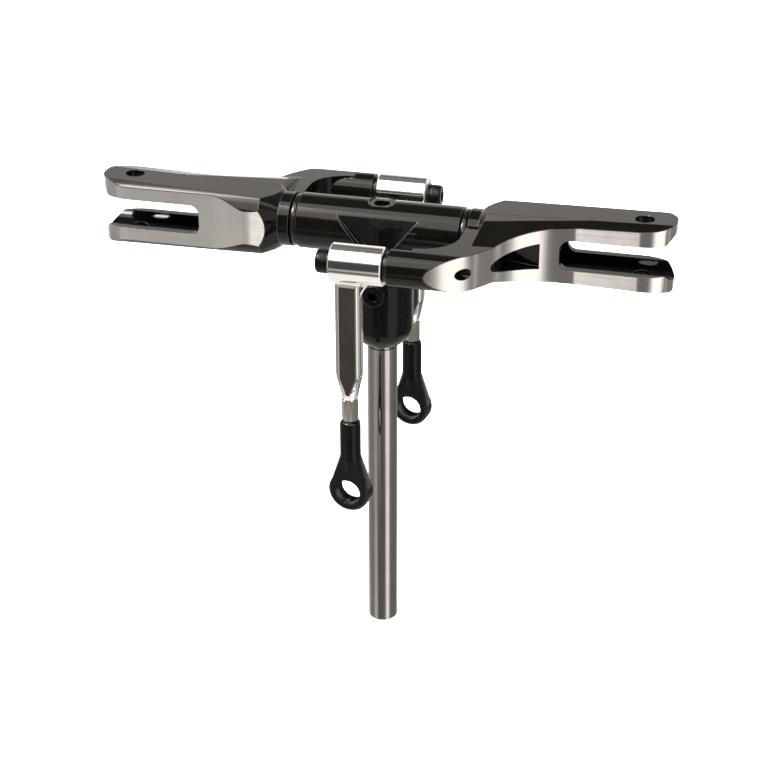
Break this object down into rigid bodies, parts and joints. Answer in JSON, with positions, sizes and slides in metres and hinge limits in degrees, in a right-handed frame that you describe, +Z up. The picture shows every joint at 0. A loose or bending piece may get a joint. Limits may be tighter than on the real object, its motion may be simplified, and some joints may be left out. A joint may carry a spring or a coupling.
{
  "type": "model helicopter rotor head",
  "caption": "Flybarless rotor head of a small model helicopter: shaft, cross housing, feathering blade grips with forked ends, and hanging pitch links with ball sockets.",
  "frame": {"origin": "centre of the main shaft's lower end", "axes": "+Z up the main shaft towards the rotor, +X along the feathering axis to the right blade"},
  "size_m": [0.0938, 0.0376, 0.0796],
  "materials": {
    "black_anodised": "gloss black anodised, with bright machined walls on the grips",
    "ground_steel": "ground and polished",
    "black_steel": "black oxide",
    "zinc_steel": "zinc plated",
    "dark_steel": "black oxide",
    "bearing_steel": "ground",
    "damper_rubber": "matt",
    "polished_aluminium": "diamond-turned, with dark anodised blade faces",
    "link_plastic": "moulded, satin gloss"
  },
  "bodies": {
    "hub": {"main_shaft": "ground_steel", "rotor_housing": "black_anodised", "through_bolt": "black_steel", "through_bolt_nut": "zinc_steel", "damper_right": "damper_rubber", "damper_left": "damper_rubber"},
    "spindle": {"feathering_shaft": "ground_steel", "spindle_screws": "black_steel", "spindle_washers": "zinc_steel", "damper_spacers": "dark_steel", "bearing_inner_rings": "bearing_steel", "thrust_shaft_races": "bearing_steel"},
    "grip_right": {"blade_grip_right": "black_anodised", "bearing_outer_rings_right": "bearing_steel", "bearing_balls_right": "bearing_steel", "thrust_grip_race_right": "bearing_steel", "thrust_balls_right": "bearing_steel", "pivot_bolt_right": "black_steel", "pivot_washers_right": "dark_steel", "link_inner_rings_right": "bearing_steel"},
    "link_right": {"link_arm_right": "polished_aluminium", "link_outer_rings_right": "bearing_steel", "link_balls_right": "bearing_steel", "link_stud_right": "zinc_steel"},
    "ball_end_right": {"ball_link_right": "link_plastic"},
    "grip_left": {"blade_grip_left": "black_anodised", "bearing_outer_rings_left": "bearing_steel", "bearing_balls_left": "bearing_steel", "thrust_grip_race_left": "bearing_steel", "thrust_balls_left": "bearing_steel", "pivot_bolt_left": "black_steel", "pivot_washers_left": "dark_steel", "link_inner_rings_left": "bearing_steel"},
    "link_left": {"link_arm_left": "polished_aluminium", "link_outer_rings_left": "bearing_steel", "link_balls_left": "bearing_steel", "link_stud_left": "zinc_steel"},
    "ball_end_left": {"ball_link_left": "link_plastic"}
  },
  "joints": [
    {"name": "spindle_rock", "type": "hinge", "parent": "hub", "child": "spindle", "pos_m": [0, 0, 0.074], "axis": [0, 1, 0], "range_deg": [-1.2, 1.2], "stiffness_Nm_per_rad": 1, "deforming": ["damper_right", "damper_left"]},
    {"name": "feathering_right", "type": "hinge", "parent": "spindle", "child": "grip_right", "pos_m": [0, 0, 0.074], "axis": [1, 0, 0], "range_deg": [-20, 20]},
    {"name": "link_swing_right", "type": "hinge", "parent": "grip_right", "child": "link_right", "pos_m": [0, -0.0157, 0.074], "axis": [1, 0, 0], "range_deg": [-20, 20]},
    {"name": "ball_link_turn_right", "type": "hinge", "parent": "link_right", "child": "ball_end_right", "pos_m": [-0.0013, -0.0157, 0.03425], "axis": [0, 0, 1], "continuous": true},
    {"name": "feathering_left", "type": "hinge", "parent": "spindle", "child": "grip_left", "pos_m": [0, 0, 0.074], "axis": [-1, 0, 0], "range_deg": [-20, 20]},
    {"name": "link_swing_left", "type": "hinge", "parent": "grip_left", "child": "link_left", "pos_m": [0, 0.0157, 0.074], "axis": [-1, 0, 0], "range_deg": [-20, 20]},
    {"name": "ball_link_turn_left", "type": "hinge", "parent": "link_left", "child": "ball_end_left", "pos_m": [0.0013, 0.0157, 0.03425], "axis": [0, 0, 1], "continuous": true}
  ],
  "couplings": [
    {"joint": "link_swing_right", "follows": "feathering_right", "ratio": -1},
    {"joint": "link_swing_left", "follows": "feathering_left", "ratio": -1}
  ]
}
